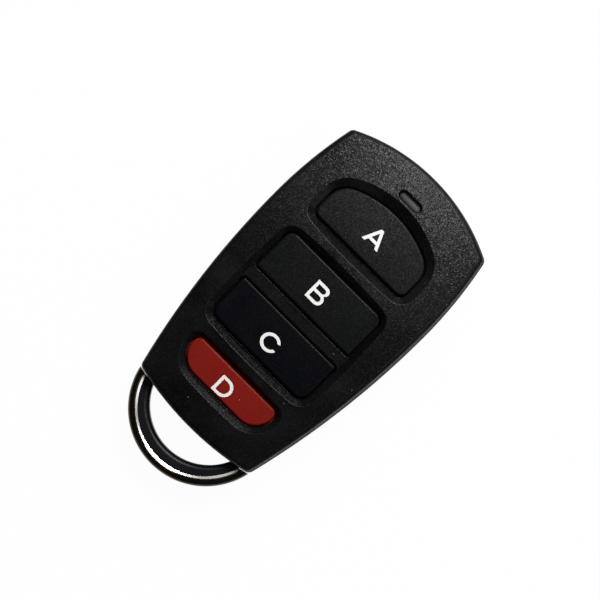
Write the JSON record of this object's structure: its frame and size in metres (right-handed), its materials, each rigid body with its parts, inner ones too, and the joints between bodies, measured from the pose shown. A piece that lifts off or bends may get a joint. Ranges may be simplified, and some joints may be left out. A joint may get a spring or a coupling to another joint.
{
  "type": "gate remote control",
  "caption": "Hand-held gate remote control: tapered two-shell case with sloped recesses, lettered push buttons, an indicator slot and a curved keyring bail at the tail.",
  "frame": {"origin": "under the middle of the part's bounding box, on the plane that the back rests on", "axes": "+Y to the indicator end, away from the keyring bail; +Z out of the button face; +X to the right as seen on the button face with the letters upright"},
  "size_m": [0.0362, 0.07, 0.0138],
  "materials": {
    "case_plastic": "spark-eroded grain",
    "back_plastic": "spark-eroded grain",
    "button_grey": "fine matte",
    "button_dark": "fine matte",
    "button_red": "fine matte",
    "lens_grey": "smooth, translucent",
    "dark_chrome": "dark mirror plating",
    "bail_satin": "satin",
    "board_green": "solder mask",
    "lamp_white": "matte",
    "cell_steel": "nickel plated",
    "contact_nickel": "nickel plated",
    "chip_black": "moulded",
    "lead_tin": "tinned",
    "ceramic_tan": "fired ceramic",
    "ceramic_dark": "fired ceramic",
    "switch_black": "moulded",
    "white_plastic": "moulded",
    "dome_steel": "stainless spring steel",
    "screw_zinc": "zinc plated"
  },
  "bodies": {
    "case": {"front_shell": "case_plastic", "rear_shell": "back_plastic", "indicator_lens": "lens_grey", "bail_bow": "dark_chrome", "bail_core": "bail_satin", "circuit_board": "board_green", "indicator_lamp": "lamp_white", "coin_cell": "cell_steel", "positive_contact": "contact_nickel", "negative_contact": "contact_nickel", "encoder_chip": "chip_black", "encoder_leads": "lead_tin", "resonator": "cell_steel", "transistor": "chip_black", "chip_resistors": "chip_black", "chip_capacitors": "ceramic_tan", "chip_inductors": "ceramic_dark", "switch_base_a": "switch_black", "switch_cover_a": "contact_nickel", "switch_dome_a": "dome_steel", "switch_leads_a": "lead_tin", "switch_base_b": "switch_black", "switch_cover_b": "contact_nickel", "switch_dome_b": "dome_steel", "switch_leads_b": "lead_tin", "switch_base_c": "switch_black", "switch_cover_c": "contact_nickel", "switch_dome_c": "dome_steel", "switch_leads_c": "lead_tin", "switch_base_d": "switch_black", "switch_cover_d": "contact_nickel", "switch_dome_d": "dome_steel", "switch_leads_d": "lead_tin", "case_screw_left": "screw_zinc", "case_screw_right": "screw_zinc", "case_screw_tail": "screw_zinc"},
    "key_a": {"button_a": "button_grey", "switch_plunger_a": "white_plastic"},
    "key_b": {"button_b": "button_grey", "switch_plunger_b": "white_plastic"},
    "key_c": {"button_c": "button_dark", "switch_plunger_c": "white_plastic"},
    "key_d": {"button_d": "button_red", "switch_plunger_d": "white_plastic"}
  },
  "joints": [
    {"name": "press_a", "type": "slide", "parent": "case", "child": "key_a", "axis": [0, 0, -1], "range_m": [0, 0.00025], "stiffness_N_per_m": 1500, "deforming": ["switch_dome_a"]},
    {"name": "press_b", "type": "slide", "parent": "case", "child": "key_b", "axis": [0, 0, -1], "range_m": [0, 0.00025], "stiffness_N_per_m": 1500, "deforming": ["switch_dome_b"]},
    {"name": "press_c", "type": "slide", "parent": "case", "child": "key_c", "axis": [0, 0, -1], "range_m": [0, 0.00025], "stiffness_N_per_m": 1500, "deforming": ["switch_dome_c"]},
    {"name": "press_d", "type": "slide", "parent": "case", "child": "key_d", "axis": [0, 0, -1], "range_m": [0, 0.00025], "stiffness_N_per_m": 1500, "deforming": ["switch_dome_d"]}
  ]
}
